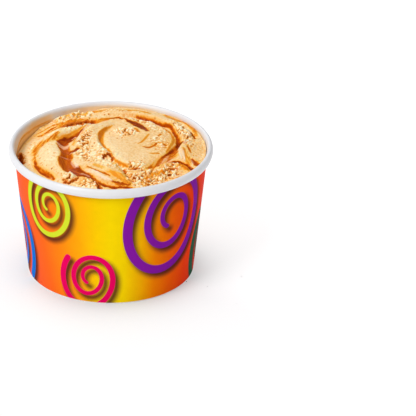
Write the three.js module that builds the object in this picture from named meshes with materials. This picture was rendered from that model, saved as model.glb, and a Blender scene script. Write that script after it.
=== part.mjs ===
// A small paper cup of caramel swirl gelato, 74 mm across its rolled rim and 49 mm tall.
// Three pieces: the board sleeve with its rim and foot, the recessed base disc, and the gelato in it.
// Millimetres, +Z up. The origin is the centre of the ring that the cup stands on. The gelato sits
// lowest against the wall at the left (-X), and the sleeve's glued side seam is at the back (+Y).
import * as THREE from "three";

// Driving dimensions of the cup
const RIM_DIAMETER = 74;
const FOOT_DIAMETER = 60.5;
const HEIGHT = 49.15;
const BOARD = 0.4;
const BEAD_WIDTH = 2.25;
const BEAD_HEIGHT = 3.55;
const BASE_RECESS = 6.5;
const FOOT_TONGUE = 5.4;
const GLUE_GAP = 0.1;
const SEAM_WIDTH = 7;
const SEAM_STEP = 0.35;
const SEAM_TOP = 44.4;
const CUP_COLUMNS = 60;

// Driving dimensions of the gelato
const FILL_GAP = 0.15;
const GELATO_RINGS = 34;
const EDGE_HEIGHT = 47.3;
const DOME_RISE = 1.5;
const LOW_SIDE_ANGLE = 188;
const LOW_SIDE_DROP = 4.3;

// Sizes that follow from them
const footRadius = FOOT_DIAMETER / 2;
const bead = {
  radius: (RIM_DIAMETER - BEAD_WIDTH) / 2,
  height: HEIGHT - BEAD_HEIGHT / 2,
  halfWidth: BEAD_WIDTH / 2,
  halfHeight: BEAD_HEIGHT / 2,
};
const wallTopRadius = bead.radius - bead.halfWidth + BOARD;
const wallTaper = (wallTopRadius - footRadius) / bead.height;
const floorTop = BASE_RECESS + BOARD;

const radians = THREE.MathUtils.degToRad;
const smoothstep = (value, low, high) => THREE.MathUtils.smoothstep(value, low, high);

function wallOuter(z) {
  return footRadius + wallTaper * z;
}

function wallInner(z) {
  return wallOuter(z) - BOARD;
}

// A closed profile of [radius, height, seam share] turned about Z. It runs anticlockwise, with radius to
// the right and height up. A column has an angle and its share of the seam's step.
function turnedSolid(profile, columns) {
  const vertices = [];
  const rows = [];
  for (const [radius, height, seamShare = 0] of profile) {
    const row = [];
    if (radius === 0) {
      vertices.push(0, 0, height);
      rows.push(columns.map(() => vertices.length / 3 - 1));
      continue;
    }
    for (const { angle, seam } of columns) {
      const reach = radius + seam * seamShare * SEAM_STEP;
      vertices.push(reach * Math.cos(angle), reach * Math.sin(angle), height);
      row.push(vertices.length / 3 - 1);
    }
    rows.push(row);
  }
  const faces = [];
  for (let i = 0; i < rows.length; i++) {
    const lower = rows[i];
    const upper = rows[(i + 1) % rows.length];
    for (let j = 0; j < columns.length; j++) {
      const k = (j + 1) % columns.length;
      pushFace(faces, lower[j], lower[k], upper[k]);
      pushFace(faces, lower[j], upper[k], upper[j]);
    }
  }
  return indexedGeometry(vertices, faces);
}

function pushFace(faces, a, b, c) {
  if (a !== b && b !== c && c !== a) {
    faces.push(a, b, c);
  }
}

function indexedGeometry(vertices, faces) {
  const geometry = new THREE.BufferGeometry();
  geometry.setAttribute("position", new THREE.Float32BufferAttribute(vertices, 3));
  geometry.setIndex(faces);
  geometry.computeVertexNormals();
  return geometry;
}

function evenColumns(count) {
  return Array.from({ length: count }, (_, i) => ({ angle: (2 * Math.PI * i) / count, seam: 0 }));
}

// The sleeve's columns, with closer ones where the overlapping seam steps up and down at the back
function sleeveColumns() {
  const middle = Math.PI / 2;
  const halfSeam = SEAM_WIDTH / 2 / wallTopRadius;
  const stepAngle = SEAM_STEP / wallTopRadius;
  const plain = evenColumns(CUP_COLUMNS).filter(({ angle }) => Math.abs(angle - middle) > halfSeam + stepAngle);
  const seam = [
    { angle: middle - halfSeam - stepAngle, seam: 0 },
    { angle: middle - halfSeam, seam: 1 },
    { angle: middle, seam: 1 },
    { angle: middle + halfSeam, seam: 1 },
    { angle: middle + halfSeam + stepAngle, seam: 0 },
  ];
  return [...plain, ...seam].sort((a, b) => a.angle - b.angle);
}

function ellipseArc(halfWidth, halfHeight, fromDegrees, toDegrees, steps) {
  const points = [];
  for (let i = 0; i <= steps; i++) {
    const angle = radians(THREE.MathUtils.lerp(fromDegrees, toDegrees, i / steps));
    points.push([bead.radius + halfWidth * Math.cos(angle), bead.height + halfHeight * Math.sin(angle)]);
  }
  return points;
}

// The sleeve: one strip of board, folded up inside the foot and curled outward into the rim's bead
function sleeveProfile() {
  const curlEnd = -130;
  const outerSteps = 13;
  const innerSteps = 7;
  const footRound = 0.35;
  const tongueOuter = 2 * BOARD + 2 * GLUE_GAP;
  const tongueInner = tongueOuter + BOARD;
  const curlOutside = ellipseArc(bead.halfWidth, bead.halfHeight, curlEnd, 180, outerSteps);
  const curlInside = ellipseArc(bead.halfWidth - BOARD, bead.halfHeight - BOARD, 180, curlEnd, innerSteps);
  return [
    [wallOuter(0) - footRound, 0],
    [wallOuter(footRound), footRound, 1],
    [wallOuter(SEAM_TOP), SEAM_TOP, 1],
    [wallOuter(SEAM_TOP + 1), SEAM_TOP + 1],
    ...curlInside,
    ...curlOutside,
    [wallInner(floorTop), floorTop],
    [wallInner(BOARD), BOARD],
    [wallOuter(BOARD) - tongueOuter, BOARD],
    [wallOuter(FOOT_TONGUE) - tongueOuter, FOOT_TONGUE],
    [wallOuter(FOOT_TONGUE) - tongueInner, FOOT_TONGUE],
    [wallOuter(footRound) - tongueInner, footRound],
    [wallOuter(0) - tongueInner + footRound, 0],
  ];
}

// The base: a disc pressed from board, with a skirt held in the sleeve's foot
function baseProfile() {
  const skirtFoot = BOARD + GLUE_GAP;
  const cornerRound = 0.5;
  const skirtOuter = (z) => wallInner(z) - GLUE_GAP;
  const skirtInner = (z) => skirtOuter(z) - BOARD;
  return [
    [0, floorTop - BOARD],
    [skirtInner(floorTop) - cornerRound, floorTop - BOARD],
    [skirtInner(floorTop - cornerRound), floorTop - BOARD - cornerRound],
    [skirtInner(skirtFoot), skirtFoot],
    [skirtOuter(skirtFoot), skirtFoot],
    [skirtOuter(floorTop - cornerRound), floorTop - cornerRound],
    [skirtOuter(floorTop) - cornerRound, floorTop],
    [0, floorTop],
  ];
}

// The gelato was pressed in with a paddle. Each stroke of the paddle is an arc whose radius may change
// along it: centre in x and y, radius from and to, angle from and to in degrees, half-widths inside and
// outside the arc, and the height that it raises (or cuts, below zero).
const STROKES = {
  ringRidge: { centre: [4.2, 3.3], radius: [24.6, 21.6], angle: [112, -30], width: [1.1, 4.2], height: 1.2 },
  ringLine: { centre: [4.2, 3.3], radius: [22.6, 19.5], angle: [88, -37], width: [1.6, 0.7], height: -0.9 },
  topCurl: { centre: [3.5, 17.7], radius: [5.6, 8.9], angle: [76, 181], width: [0.9, 0.9], height: -0.6 },
  plateLip: { centre: [15, 4.3], radius: [20.2, 20.4], angle: [135, 222], width: [0.9, 4.5], height: 0.8 },
  discLeft: { centre: [15, 4.3], radius: [18.5, 18.4], angle: [140, 218], width: [1.6, 0.8], height: -0.8 },
  discFront: { centre: [20.6, 8.3], radius: [28.4, 28.4], angle: [218, 245], width: [0.9, 0.9], height: -1.2 },
  frontRight: { centre: [25.7, -19.8], radius: [12.3, 5.3], angle: [169, 55], width: [1.0, 1.8], height: -0.9 },
  frontRightLip: { centre: [25.7, -21.2], radius: [10.4, 4.2], angle: [155, 60], width: [1.6, 0.8], height: 1.0 },
  rightBack: { centre: [8.5, 6.2], radius: [21.6, 22], angle: [43, 4], width: [0.8, 0.8], height: -0.8 },
  poolTop: { centre: [-6.5, -0.1], radius: [12.7, 10], angle: [111, 212], width: [2.4, 1.4], height: -1.3 },
  poolMiddle: { centre: [-3.1, -8], radius: [12.6, 15.6], angle: [168, 240], width: [2.4, 1.6], height: -1.3 },
  poolFront: { centre: [24.3, 1.7], radius: [38.9, 38.5], angle: [205, 237], width: [1.2, 1.8], height: -1.2 },
  paddleFlap: { centre: [20.4, -1.7], radius: [27.6, 27.2], angle: [214, 236], width: [3.2, 1.0], height: 1.0 },
  frontCrag: { centre: [35.9, -7.7], radius: [33.2, 33], angle: [190, 216], width: [0.9, 1.2], height: -1.2 },
  backLeftBand: { centre: [-16, 39], radius: [19.9, 19.3], angle: [-92, -55], width: [1.0, 1.8], height: -1.3 },
  leftRidge: { centre: [34.5, -41.9], radius: [74.5, 74.5], angle: [142, 124], width: [1.2, 2.2], height: 1.0 },
  innerRidge: { centre: [-35.2, 21.3], radius: [29.3, 29.3], angle: [-42, -8], width: [1.0, 2.0], height: 0.9 },
  leftStreak: { centre: [-14.6, 9.2], radius: [12.5, 13], angle: [100, 162], width: [0.9, 0.9], height: -0.6 },
  leftBand: { centre: [-15.9, -0.1], radius: [11.6, 11.3], angle: [190, 115], width: [0.9, 1.4], height: -0.9 },
  leftFoot: { centre: [8.2, 4.5], radius: [37.4, 37.6], angle: [194, 222], width: [0.8, 1.2], height: -0.9 },
};

// Broad lumps and hollows: centre, half-sizes, turn in degrees and height
const LUMPS = {
  backLeftCrest: { at: [-15, 27.5], size: [7, 3], turn: 28, height: 1.2 },
  leftMound: { at: [-21, -6], size: [6, 7.5], turn: 0, height: 0.8 },
  sauceHollow: { at: [-14, -6], size: [4, 13], turn: 0, height: -0.7 },
  strayCrumb: { at: [-15, -21], size: [2.2, 1.6], turn: 20, height: 1.3 },
  wallPocket: { at: [-32.8, 0.5], size: [1.6, 3.4], turn: 8, height: -2.2 },
};

// Where the gelato tore into crumbs instead of smearing: centre, half-sizes, turn and roughness
const CRUMBLY = {
  front: { at: [15.5, -22.5], size: [11, 5], turn: 18, height: 1.0 },
  discTop: { at: [5, 9.5], size: [5, 3.5], turn: 10, height: 0.7 },
  backLeft: { at: [-13, 26.5], size: [8, 4], turn: 28, height: 0.8 },
  right: { at: [27, 8], size: [4, 9], turn: 0, height: 0.5 },
  plate: { at: [-4, -8], size: [6, 9], turn: 20, height: 0.4 },
};

const DISC = { at: [8.7, 0.2], radius: [12, 17], height: 0.7 };

function lumpShape(x, y, { at, size, turn, height }) {
  const cosine = Math.cos(radians(turn));
  const sine = Math.sin(radians(turn));
  const along = ((x - at[0]) * cosine + (y - at[1]) * sine) / size[0];
  const across = ((y - at[1]) * cosine - (x - at[0]) * sine) / size[1];
  return height * Math.exp(-(along * along + across * across));
}

// A stroke's height at a point: full along its middle, fading across it and at both ends
function strokeShape(x, y, { centre, radius, angle, width, height }) {
  const dx = x - centre[0];
  const dy = y - centre[1];
  const sweep = radians(angle[1] - angle[0]);
  const turned = Math.atan2(dy, dx) - radians(angle[0]);
  const fullTurn = 2 * Math.PI * Math.sign(sweep);
  const offset = THREE.MathUtils.euclideanModulo(turned / fullTurn + 0.25, 1) - 0.25;
  const share = (offset * fullTurn) / sweep;
  const across = Math.hypot(dx, dy) - THREE.MathUtils.lerp(radius[0], radius[1], share);
  const halfWidth = across < 0 ? width[0] : width[1];
  const ends = smoothstep(share, -0.04, 0.12) * (1 - smoothstep(share, 0.88, 1.04));
  return height * ends * Math.exp(-((across / halfWidth) ** 2));
}

// Crumbs, from waves that cross at uneven angles, between -1 and 1
function crumbs(x, y) {
  const first = Math.sin(2.1 * x + 0.9 * y) * Math.sin(-0.7 * x + 1.9 * y + 1.3);
  const second = Math.sin(1.2 * x - 2.6 * y + 4.1) * Math.sin(2.9 * x + 1.4 * y + 0.4);
  return 0.6 * first + 0.4 * second;
}

function fillShape(x, y) {
  const wall = wallInner(EDGE_HEIGHT);
  const share = Math.hypot(x, y) / wall;
  const turned = THREE.MathUtils.radToDeg(Math.atan2(y, x)) - LOW_SIDE_ANGLE;
  const away = Math.abs(THREE.MathUtils.euclideanModulo(turned + 180, 360) - 180);
  const lowSide = (1 - smoothstep(away, 15, 100)) * smoothstep(share, 0.6, 0.95);
  return EDGE_HEIGHT + DOME_RISE * (1 - share * share) - LOW_SIDE_DROP * lowSide;
}

function gelatoHeight(x, y) {
  const fromDisc = Math.hypot(x - DISC.at[0], y - DISC.at[1]);
  let height = fillShape(x, y) + DISC.height * (1 - smoothstep(fromDisc, ...DISC.radius));
  for (const lump of Object.values(LUMPS)) {
    height += lumpShape(x, y, lump);
  }
  for (const stroke of Object.values(STROKES)) {
    height += strokeShape(x, y, stroke);
  }
  for (const patch of Object.values(CRUMBLY)) {
    height += lumpShape(x, y, patch) * crumbs(x, y);
  }
  return height;
}

// The gelato: rings of points with six more in each ring, so that the faces stay even in size
function gelatoGeometry() {
  const vertices = [0, 0, gelatoHeight(0, 0)];
  const ringStart = (ring) => (ring === 0 ? 0 : 1 + 3 * ring * (ring - 1));
  const ringPoint = (ring, i) => ringStart(ring) + (ring === 0 ? 0 : i % (6 * ring));
  for (let ring = 1; ring <= GELATO_RINGS; ring++) {
    for (let i = 0; i < 6 * ring; i++) {
      const angle = (2 * Math.PI * i) / (6 * ring);
      const edge = wallInner(fillShape(34 * Math.cos(angle), 34 * Math.sin(angle)) - 1) - FILL_GAP;
      const reach = (edge * ring) / GELATO_RINGS;
      const x = reach * Math.cos(angle);
      const y = reach * Math.sin(angle);
      vertices.push(x, y, gelatoHeight(x, y));
    }
  }
  const faces = [];
  for (let ring = 1; ring <= GELATO_RINGS; ring++) {
    for (let side = 0; side < 6; side++) {
      for (let step = 0; step < ring; step++) {
        const outer = side * ring + step;
        const inner = side * (ring - 1) + step;
        faces.push(ringPoint(ring, outer), ringPoint(ring, outer + 1), ringPoint(ring - 1, inner));
        if (step < ring - 1) {
          faces.push(ringPoint(ring - 1, inner), ringPoint(ring, outer + 1), ringPoint(ring - 1, inner + 1));
        }
      }
    }
  }
  closeBelow(vertices, faces, ringStart(GELATO_RINGS), 6 * GELATO_RINGS);
  return indexedGeometry(vertices, faces);
}

// The gelato's side against the wall and its flat underside on the base disc
function closeBelow(vertices, faces, topStart, count) {
  const bottom = floorTop + GLUE_GAP;
  const bottomRadius = wallInner(bottom) - FILL_GAP;
  const bottomStart = vertices.length / 3;
  for (let i = 0; i < count; i++) {
    const angle = (2 * Math.PI * i) / count;
    vertices.push(bottomRadius * Math.cos(angle), bottomRadius * Math.sin(angle), bottom);
  }
  const middle = vertices.length / 3;
  vertices.push(0, 0, bottom);
  for (let i = 0; i < count; i++) {
    const next = (i + 1) % count;
    faces.push(bottomStart + i, bottomStart + next, topStart + next);
    faces.push(bottomStart + i, topStart + next, topStart + i);
    faces.push(bottomStart + next, bottomStart + i, middle);
  }
}

function piece(name, geometry, color, roughness) {
  const mesh = new THREE.Mesh(geometry, new THREE.MeshStandardMaterial({ color, roughness, metalness: 0 }));
  mesh.name = name;
  return mesh;
}

const cup = new THREE.Group();
cup.add(piece("cup_wall", turnedSolid(sleeveProfile(), sleeveColumns()), 0xf58a2a, 0.45));
cup.add(piece("cup_base", turnedSolid(baseProfile(), evenColumns(CUP_COLUMNS)), 0xf4f2f0, 0.6));
cup.add(piece("gelato", gelatoGeometry(), 0xf3cf96, 0.5));

export default cup;
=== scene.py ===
"""A small paper cup of caramel swirl gelato, dressed for its picture.

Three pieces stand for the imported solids: the printed sleeve, the base disc and the gelato.
Sizes are in millimetres, like the solids' own, and become metres when a mesh is made.
Angles round the cup are in degrees from the front (-Y), positive towards +X.
"""

from math import atan, cos, degrees, hypot, pi, radians, sin

import bpy
import numpy as np
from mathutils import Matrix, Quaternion, Vector


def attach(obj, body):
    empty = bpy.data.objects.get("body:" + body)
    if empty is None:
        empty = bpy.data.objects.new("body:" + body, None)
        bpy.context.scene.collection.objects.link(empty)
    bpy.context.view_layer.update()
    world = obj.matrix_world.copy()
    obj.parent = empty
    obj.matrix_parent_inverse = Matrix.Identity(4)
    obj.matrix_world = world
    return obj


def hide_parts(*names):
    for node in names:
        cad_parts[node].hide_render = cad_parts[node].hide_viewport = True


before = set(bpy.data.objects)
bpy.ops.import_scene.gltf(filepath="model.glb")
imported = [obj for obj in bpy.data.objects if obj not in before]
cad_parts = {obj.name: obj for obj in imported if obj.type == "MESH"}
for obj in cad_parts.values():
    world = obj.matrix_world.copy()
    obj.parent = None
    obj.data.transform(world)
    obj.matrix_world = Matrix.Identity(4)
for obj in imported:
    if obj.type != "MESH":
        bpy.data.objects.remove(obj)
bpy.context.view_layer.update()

MM = 0.001

# The cup, with the same driving dimensions as its solids
RIM_DIAMETER = 74.0
FOOT_DIAMETER = 60.5
HEIGHT = 49.15
BOARD = 0.4
BEAD_WIDTH = 2.25
BEAD_HEIGHT = 3.55
BASE_RECESS = 6.5
FOOT_TONGUE = 5.4
FOOT_ROUND = 0.35
GLUE_GAP = 0.1
SKIRT_CORNER = 0.5
SEAM_WIDTH = 7.0
SEAM_STEP = 0.35
SEAM_TOP = 44.4
SEAM_FADE = 1.0
SEAM_CLEARANCE = 0.3
CURL_END = -130.0

# How finely the pieces are cut. The inner wall has fine rows above the height that the smears reach down to
SLEEVE_COLUMNS = 510
SLEEVE_ROW = 0.43
FOOT_START = -80.0
FOOT_STEPS = 5
UPPER_ROWS = 6
CURL_INSIDE_STEPS = 10
CURL_OUTSIDE_STEPS = 34
SMEARED_FROM = 39.0
SMEARED_ROWS = 18
PLAIN_ROWS = 6
BASE_COLUMNS = 180
GELATO_RINGS = 175
AXIS_HOLE = 0.001
MIDDLE_RING = 12.0

# The gelato, with the same driving dimensions as its solid. Its side is fitted to the wall a little below
# the height that its edge has at one radius
FILL_GAP = 0.15
EDGE_HEIGHT = 47.3
DOME_RISE = 1.5
LOW_SIDE_ANGLE = 188.0
LOW_SIDE_DROP = 4.3
SIDE_FITTED_AT = 34.0
SIDE_FITTED_BELOW = 1.0

foot_radius = FOOT_DIAMETER / 2
bead_radius = (RIM_DIAMETER - BEAD_WIDTH) / 2
bead_centre = HEIGHT - BEAD_HEIGHT / 2
wall_top_radius = bead_radius - BEAD_WIDTH / 2 + BOARD
wall_taper = (wall_top_radius - foot_radius) / bead_centre
floor_top = BASE_RECESS + BOARD


def wall_outer(z):
    return foot_radius + wall_taper * z


def wall_inner(z):
    return wall_outer(z) - BOARD


# Shared shaping functions. The random ones draw from a square grid that repeats
GRID = 64


def ease(value, low, high):
    """Rises softly from nought at low to one at high."""
    t = np.clip((value - low) / (high - low), 0, 1)
    return t * t * (3.0 - 2.0 * t)


def between(value, rise, fall):
    """One between the rise and the fall, and nought outside them."""
    return ease(value, *rise) * (1 - ease(value, *fall))


def bell(value, width):
    return np.exp(-(value / width) ** 2)


def waves(x, y, cell, seed):
    """Soft random hills and hollows about one cell across, between -1 and 1."""
    draw = np.random.default_rng(seed)
    slopes = draw.uniform(0.0, 2 * pi, (GRID, GRID))
    u = x / cell + GRID / 2
    v = y / cell + GRID / 2
    column = np.floor(u).astype(int)
    row = np.floor(v).astype(int)
    fu = u - column
    fv = v - row
    blend_u = fu ** 3 * (fu * (6.0 * fu - 15.0) + 10.0)
    blend_v = fv ** 3 * (fv * (6.0 * fv - 15.0) + 10.0)

    def corner(i, j):
        slope = slopes[(column + i) % GRID, (row + j) % GRID]
        return np.cos(slope) * (fu - i) + np.sin(slope) * (fv - j)

    lower = corner(0, 0) * (1 - blend_u) + corner(1, 0) * blend_u
    upper = corner(0, 1) * (1 - blend_u) + corner(1, 1) * blend_u
    return 1.5 * (lower * (1 - blend_v) + upper * blend_v)


def grains(x, y, cell, seed):
    """Scattered grains: how many cells away the nearest one is, and its own draw from 0 to 1."""
    draw = np.random.default_rng(seed)
    jitter = draw.uniform(0.08, 0.92, (GRID, GRID, 2))
    own = draw.uniform(0.0, 1.0, (GRID, GRID))
    u = x / cell
    v = y / cell
    column = np.floor(u).astype(int)
    row = np.floor(v).astype(int)
    nearest = np.full(x.shape, np.inf)
    number = np.zeros(x.shape)
    for i in (-1, 0, 1):
        for j in (-1, 0, 1):
            place = (column + i) % GRID, (row + j) % GRID
            aside, above = np.moveaxis(jitter[place], -1, 0)
            distance = np.hypot(column + i + aside - u, row + j + above - v)
            closer = distance < nearest
            number = np.where(closer, own[place], number)
            nearest = np.where(closer, distance, nearest)
    return nearest, number


def smooth_route(points, steps=8):
    """Points on a smooth curve through the given ones, each with its half-width."""
    given = np.array([points[0], *points, points[-1]], float)
    share = np.linspace(0, 1, steps, endpoint=False)[:, None]
    spans = []
    for before, start, end, after in zip(given, given[1:], given[2:], given[3:]):
        bend = 2 * before - 5 * start + 4 * end - after
        twist = 3 * start - before - 3 * end + after
        spans.append(start + 0.5 * share * (end - before + share * (bend + share * twist)))
    return np.vstack([*spans, given[-1:]])


def depth_inside(x, y, route):
    """How far each place lies inside a stroke of changing half-width, below zero outside it."""
    best = np.full(x.shape, -np.inf)
    for start, end in zip(route, route[1:]):
        along = end[:2] - start[:2]
        length = max(float(along @ along), 1e-9)
        share = np.clip(((x - start[0]) * along[0] + (y - start[1]) * along[1]) / length, 0, 1)
        gap = np.hypot(x - start[0] - share * along[0], y - start[1] - share * along[1])
        best = np.maximum(best, start[2] + share * (end[2] - start[2]) - gap)
    return best


# Making meshes and materials

def add_object(name, data):
    made = bpy.data.objects.new(name, data)
    bpy.context.scene.collection.objects.link(made)
    return made


def make_piece(name, points, faces, materials, face_material=None):
    """A smooth mesh piece from points in millimetres, with its object at the origin."""
    mesh = bpy.data.meshes.new(name)
    mesh.from_pydata((points * MM).tolist(), [], faces)
    mesh.polygons.foreach_set("use_smooth", np.ones(len(mesh.polygons), bool))
    for material in materials:
        mesh.materials.append(material)
    if face_material is not None:
        mesh.polygons.foreach_set("material_index", np.asarray(face_material, np.int32))
    return add_object(name, mesh)


def keep_values(piece, values):
    """Keeps named numbers for each point of the piece, for its material to read."""
    for name, numbers in values.items():
        layer = piece.data.attributes.new(name, "FLOAT", "POINT")
        layer.data.foreach_set("value", np.asarray(numbers, np.float32))


def linear(colour):
    """A colour of 0 to 255 as the eye sees it, as the linear colour that materials use."""
    share = [c / 255.0 for c in colour]
    return [c / 12.92 if c <= 0.04045 else ((c + 0.055) / 1.055) ** 2.4 for c in share] + [1.0]


class Nodes:
    """A short way to write the nodes of a material or of the sky."""

    def __init__(self, owner, shader="Principled BSDF"):
        owner.use_nodes = True
        self.owner = owner
        self.tree = owner.node_tree
        self.shader = self.tree.nodes[shader]

    def link(self, value, socket):
        if isinstance(value, bpy.types.NodeSocket):
            self.tree.links.new(value, socket)
        else:
            socket.default_value = value

    def node(self, kind, output=0, **inputs):
        made = self.tree.nodes.new(kind)
        for name, value in inputs.items():
            self.link(value, made.inputs[name.replace("_", " ")])
        return made.outputs[output]

    def set(self, **inputs):
        for name, value in inputs.items():
            self.link(value, self.shader.inputs[name.replace("_", " ")])

    def value(self, name):
        made = self.tree.nodes.new("ShaderNodeAttribute")
        made.attribute_name = name
        return made.outputs["Fac"]

    def place(self):
        return self.node("ShaderNodeTexCoord", output="Object")

    def math(self, operation, *values):
        result = self.node("ShaderNodeMath")
        result.node.operation = operation
        for socket, value in zip(result.node.inputs, values):
            self.link(value, socket)
        return result

    def span(self, value, low, high, to_low=0.0, to_high=1.0):
        """The value's share of the way from low to high, kept in range."""
        return self.node(
            "ShaderNodeMapRange", Value=value, From_Min=low, From_Max=high, To_Min=to_low, To_Max=to_high
        )

    def ramp(self, value, stops):
        """A colour for each value, from stops of (value, colour)."""
        made = self.tree.nodes.new("ShaderNodeValToRGB")
        elements = made.color_ramp.elements
        while len(elements) < len(stops):
            elements.new(0.5)
        for element, (at, colour) in zip(elements, stops):
            element.position = at
            element.color = linear(colour)
        self.link(value, made.inputs[0])
        return made.outputs["Color"]

    def mix(self, share, first, second, blend="MIX"):
        made = self.tree.nodes.new("ShaderNodeMix")
        made.data_type = "RGBA"
        made.blend_type = blend
        for socket, value in zip((made.inputs[0], made.inputs[6], made.inputs[7]), (share, first, second)):
            self.link(value, socket)
        return made.outputs[2]

    def noise(self, scale, detail=2.0, roughness=0.5):
        """Soft noise between 0 and 1, with so many hollows and hills in a metre."""
        settings = {"Scale": scale, "Detail": detail, "Roughness": roughness}
        return self.node("ShaderNodeTexNoise", Vector=self.place(), **settings)

    def bump(self, height, distance, strength=1.0):
        made = self.node("ShaderNodeBump", Height=height, Distance=distance, Strength=strength)
        self.link(made, self.shader.inputs["Normal"])


# The print: a common swirl ornament, drawn by one spiral formula on the unrolled sleeve

SPIRAL = {
    "turns": 2.278,
    "start": 163.6,
    "inner": 0.215,
    "power": 1.21,
    "squash": 0.772,
    "tilt": 77.6,
    "drift": (-0.011, -0.108),
}
SPIRAL_STEPS = 150

# Each swirl's ink, its place as an angle round the cup and a height, its radius, its stroke's width at
# the inner and the outer end, and how far its winding is turned
SWIRLS = [
    ("lime", (-40.7, 38.4), 14.1, (1.2, 2.2), 0),
    ("magenta", (-13.9, 11.3), 14.1, (1.4, 2.3), 0),
    ("purple", (40.9, 34.3), 23.6, (1.7, 3.6), 0),
    ("blue", (-88.4, 15.7), 19.2, (1.4, 3), 176.1),
    ("green", (93.8, 13.7), 18.6, (1.6, 4), -10.7),
    ("purple", (-141, 34), 15.5, (1.4, 2.8), 0),
    ("lime", (161, 12.5), 12, (1.2, 2.3), 0),
    ("magenta", (138, 37), 14.5, (1.4, 2.5), 0),
    ("green", (-160, 10.5), 10.5, (1.2, 2.2), 0),
]

INKS = {
    "lime": (206, 222, 46),
    "magenta": (228, 6, 92),
    "purple": (132, 26, 160),
    "blue": (10, 112, 212),
    "green": (34, 86, 60),
}

# The ground's colours, by angle round the cup
GROUND = [
    (-180, (252, 168, 30)),
    (-150, (252, 140, 28)),
    (-110, (244, 90, 62)),
    (-66, (246, 92, 46)),
    (-50, (248, 102, 30)),
    (-34, (250, 132, 18)),
    (-20, (251, 166, 12)),
    (-9, (249, 200, 5)),
    (0, (249, 214, 5)),
    (8, (246, 210, 4)),
    (18, (245, 180, 4)),
    (30, (246, 128, 3)),
    (42, (244, 96, 8)),
    (58, (242, 62, 14)),
    (90, (240, 42, 22)),
    (125, (246, 104, 34)),
    (180, (252, 168, 30)),
]

# The soft shade beside each spiral: how far it is shifted, how soft its edge is, its reach round a spiral
SHADE_SHIFT = (1.3, -1.6)
SHADE_SOFTNESS = 1.9
SHADE_MARGIN = 6.0
SHADE_STRENGTH = 0.95
SHADE_COLOUR = (84, 38, 26)

# The ground's colours lean on the left side: between which angles in radians, about which height, how far
SLANT_ANGLES = (-1.3, -0.1)
SLANT_HEIGHT = 24.0 * MM
SLANT = 9.0

INK_EDGE = 0.12
UNPRINTED_FOOT = (0.32, 0.48)
BARE_BOARD = (246, 244, 242)

sheet_sine = wall_taper / hypot(1.0, wall_taper)
sheet_start = foot_radius / sheet_sine


def on_sheet(angle, z):
    """Where a place on the sleeve lies when the sleeve is rolled out flat."""
    reach = wall_outer(z) / sheet_sine
    turn = np.radians(angle) * sheet_sine
    return reach * np.sin(turn), reach * np.cos(turn) - sheet_start


def spiral_route(radius, width, winding):
    """The spiral's points and half-widths about its own centre."""
    t = np.linspace(0, 1, SPIRAL_STEPS)
    reach = radius * (SPIRAL["inner"] + (1 - SPIRAL["inner"]) * t ** SPIRAL["power"])
    angle = radians(SPIRAL["start"] + winding) - 2 * pi * SPIRAL["turns"] * t
    u = reach * np.cos(angle)
    v = reach * SPIRAL["squash"] * np.sin(angle)
    tilt = radians(SPIRAL["tilt"])
    drift = SPIRAL["drift"]
    x = radius * drift[0] * t + u * cos(tilt) - v * sin(tilt)
    y = radius * drift[1] * t + u * sin(tilt) + v * cos(tilt)
    half = 0.5 * (width[0] + (width[1] - width[0]) * t)
    return np.column_stack([x, y, half])


def print_values(angle, z):
    """For places on the sleeve: how deep each lies inside every ink, and its share of the soft shade."""
    x, y = on_sheet(angle, z)
    depths = {ink: np.full(x.shape, -SHADE_MARGIN) for ink in INKS}
    shade = np.zeros(x.shape)
    for ink, place, radius, width, winding in SWIRLS:
        centre = on_sheet(*place)
        turn = radians(place[0]) * sheet_sine
        u = (x - centre[0]) * cos(turn) - (y - centre[1]) * sin(turn)
        v = (x - centre[0]) * sin(turn) + (y - centre[1]) * cos(turn)
        near = np.hypot(u, v) < 1.15 * radius + SHADE_MARGIN
        route = spiral_route(radius, width, winding)
        depth = depth_inside(u[near], v[near], route)
        depths[ink][near] = np.maximum(depths[ink][near], depth)
        below = depth_inside(u[near] - SHADE_SHIFT[0], v[near] - SHADE_SHIFT[1], route)
        soft = ease(below, -SHADE_SOFTNESS, 0.6 * SHADE_SOFTNESS)
        shade[near] = np.maximum(shade[near], soft)
    return {**depths, "shade": shade}


def board_bump(nodes):
    nodes.bump(nodes.noise(900.0, detail=4.0, roughness=0.6), 0.04 * MM, 0.35)


def ground_colour(nodes, x, y, z):
    angle = nodes.math("ARCTAN2", x, nodes.math("MULTIPLY", y, -1.0))
    above = nodes.math("SUBTRACT", SLANT_HEIGHT, z)
    lean = nodes.math("MULTIPLY", nodes.span(angle, *SLANT_ANGLES, 1.0, 0.0), above)
    around = nodes.math("SUBTRACT", angle, nodes.math("MULTIPLY", lean, SLANT))
    share = nodes.span(around, -pi, pi)
    return nodes.ramp(share, [((at + 180) / 360, tone) for at, tone in GROUND])


def printed_board():
    nodes = Nodes(bpy.data.materials.new("printed_board"))
    x, y, z = (nodes.node("ShaderNodeSeparateXYZ", output=i, Vector=nodes.place()) for i in range(3))
    shade = nodes.math("MULTIPLY", nodes.value("shade"), SHADE_STRENGTH)
    colour = nodes.mix(shade, ground_colour(nodes, x, y, z), linear(SHADE_COLOUR))
    for ink, tone in INKS.items():
        colour = nodes.mix(nodes.span(nodes.value(ink), -INK_EDGE, INK_EDGE), colour, linear(tone))
    printed = nodes.span(nodes.math("DIVIDE", z, MM), *UNPRINTED_FOOT)
    colour = nodes.mix(printed, linear(BARE_BOARD), colour)
    cloudy = nodes.span(nodes.noise(260.0, detail=3.0), 0.3, 0.7, 0.965, 1.02)
    nodes.set(Base_Color=nodes.mix(1.0, colour, cloudy, "MULTIPLY"))
    nodes.set(Roughness=nodes.span(nodes.noise(420.0), 0.3, 0.7, 0.34, 0.44), Specular_IOR_Level=0.004)
    board_bump(nodes)
    return nodes.owner


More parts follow.
